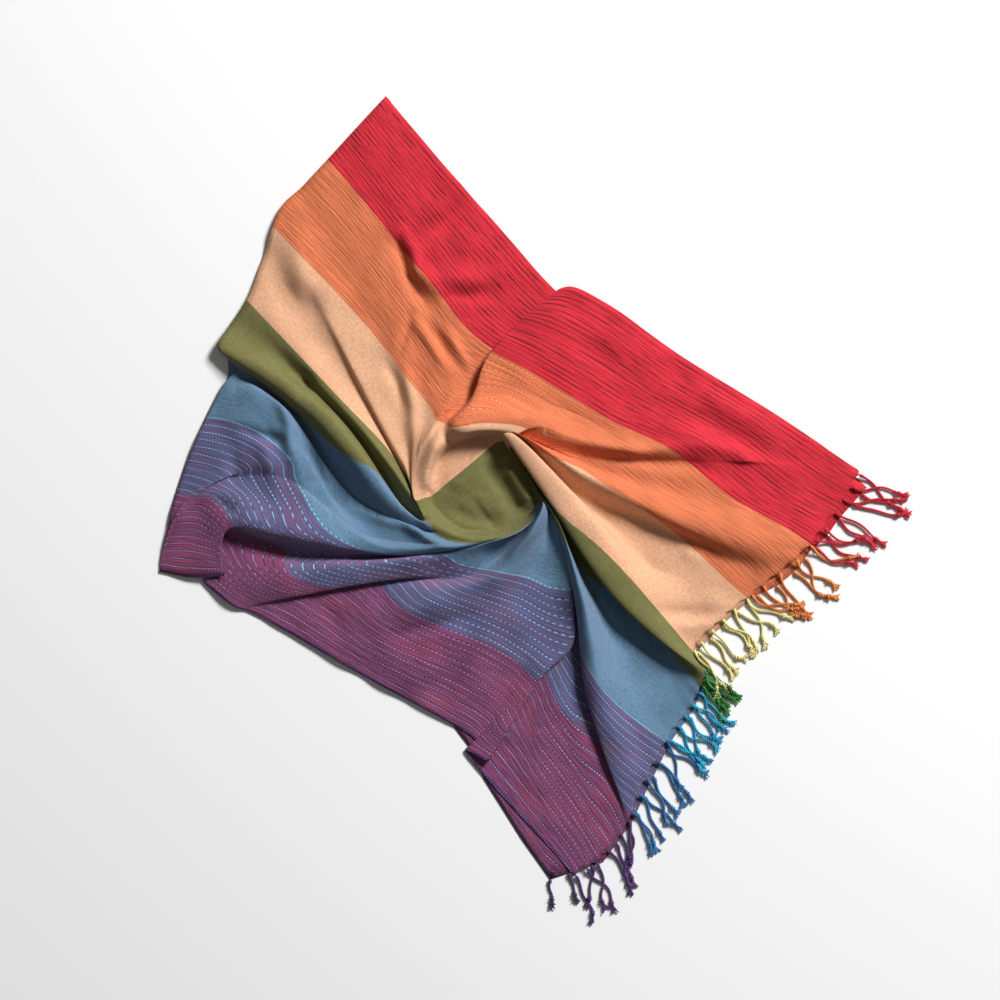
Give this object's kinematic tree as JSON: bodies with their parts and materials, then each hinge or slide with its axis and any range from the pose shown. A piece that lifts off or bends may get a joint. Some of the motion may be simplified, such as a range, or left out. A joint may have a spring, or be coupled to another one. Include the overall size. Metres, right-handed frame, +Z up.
{
  "type": "scarf",
  "caption": "Handwoven rainbow-striped scarf with twisted fringe, folded in half and laid flat with its middle twisted into a swirl of soft folds.",
  "frame": {"origin": "middle of the bounding box, on the surface that the scarf lies on", "axes": "+Z up, out of the surface; +Y away from a viewer who reads the picture upright; the fringed ends face +X and -Y"},
  "size_m": [0.8972, 0.981, 0.032],
  "materials": {
    "right_panel_cloth": "matte handwoven cotton, red, orange and peach stripes",
    "upper_panel_cloth": "matte handwoven cotton, red, orange, peach and green stripes",
    "left_panel_cloth": "matte handwoven cotton, green, blue, periwinkle and plum stripes",
    "lower_panel_cloth": "matte handwoven cotton, blue, periwinkle and plum stripes",
    "lower_right_panel_cloth": "matte handwoven cotton, green, blue and periwinkle stripes",
    "plum_corner_cloth": "matte handwoven cotton, periwinkle and plum stripes",
    "centre_bowl_cloth": "matte handwoven cotton, peach, green and blue stripes",
    "under_layer_cloth": "matte handwoven cotton, the same stripes as the upper layer",
    "upper_fringe_red_cloth": "twisted matte cotton yarn",
    "upper_fringe_orange_cloth": "twisted matte cotton yarn",
    "upper_fringe_peach_cloth": "twisted matte cotton yarn",
    "upper_fringe_green_cloth": "twisted matte cotton yarn",
    "upper_fringe_blue_cloth": "twisted matte cotton yarn",
    "upper_fringe_periwinkle_cloth": "twisted matte cotton yarn",
    "upper_fringe_plum_cloth": "twisted matte cotton yarn",
    "lower_fringe_red_cloth": "twisted matte cotton yarn",
    "lower_fringe_orange_cloth": "twisted matte cotton yarn",
    "lower_fringe_peach_cloth": "twisted matte cotton yarn",
    "lower_fringe_green_cloth": "twisted matte cotton yarn",
    "lower_fringe_blue_cloth": "twisted matte cotton yarn",
    "lower_fringe_periwinkle_cloth": "twisted matte cotton yarn",
    "lower_fringe_plum_cloth": "twisted matte cotton yarn",
    "lower_fringe_violet_cloth": "twisted matte cotton yarn"
  },
  "bodies": {
    "root": {"right_panel": "right_panel_cloth", "upper_panel": "upper_panel_cloth", "left_panel": "left_panel_cloth", "lower_panel": "lower_panel_cloth", "lower_right_panel": "lower_right_panel_cloth", "plum_corner": "plum_corner_cloth", "centre_bowl": "centre_bowl_cloth", "under_layer": "under_layer_cloth", "upper_fringe_red": "upper_fringe_red_cloth", "upper_fringe_orange": "upper_fringe_orange_cloth", "upper_fringe_peach": "upper_fringe_peach_cloth", "upper_fringe_green": "upper_fringe_green_cloth", "upper_fringe_blue": "upper_fringe_blue_cloth", "upper_fringe_periwinkle": "upper_fringe_periwinkle_cloth", "upper_fringe_plum": "upper_fringe_plum_cloth", "lower_fringe_red": "lower_fringe_red_cloth", "lower_fringe_orange": "lower_fringe_orange_cloth", "lower_fringe_peach": "lower_fringe_peach_cloth", "lower_fringe_green": "lower_fringe_green_cloth", "lower_fringe_blue": "lower_fringe_blue_cloth", "lower_fringe_periwinkle": "lower_fringe_periwinkle_cloth", "lower_fringe_plum": "lower_fringe_plum_cloth", "lower_fringe_violet": "lower_fringe_violet_cloth"}
  },
  "joints": []
}
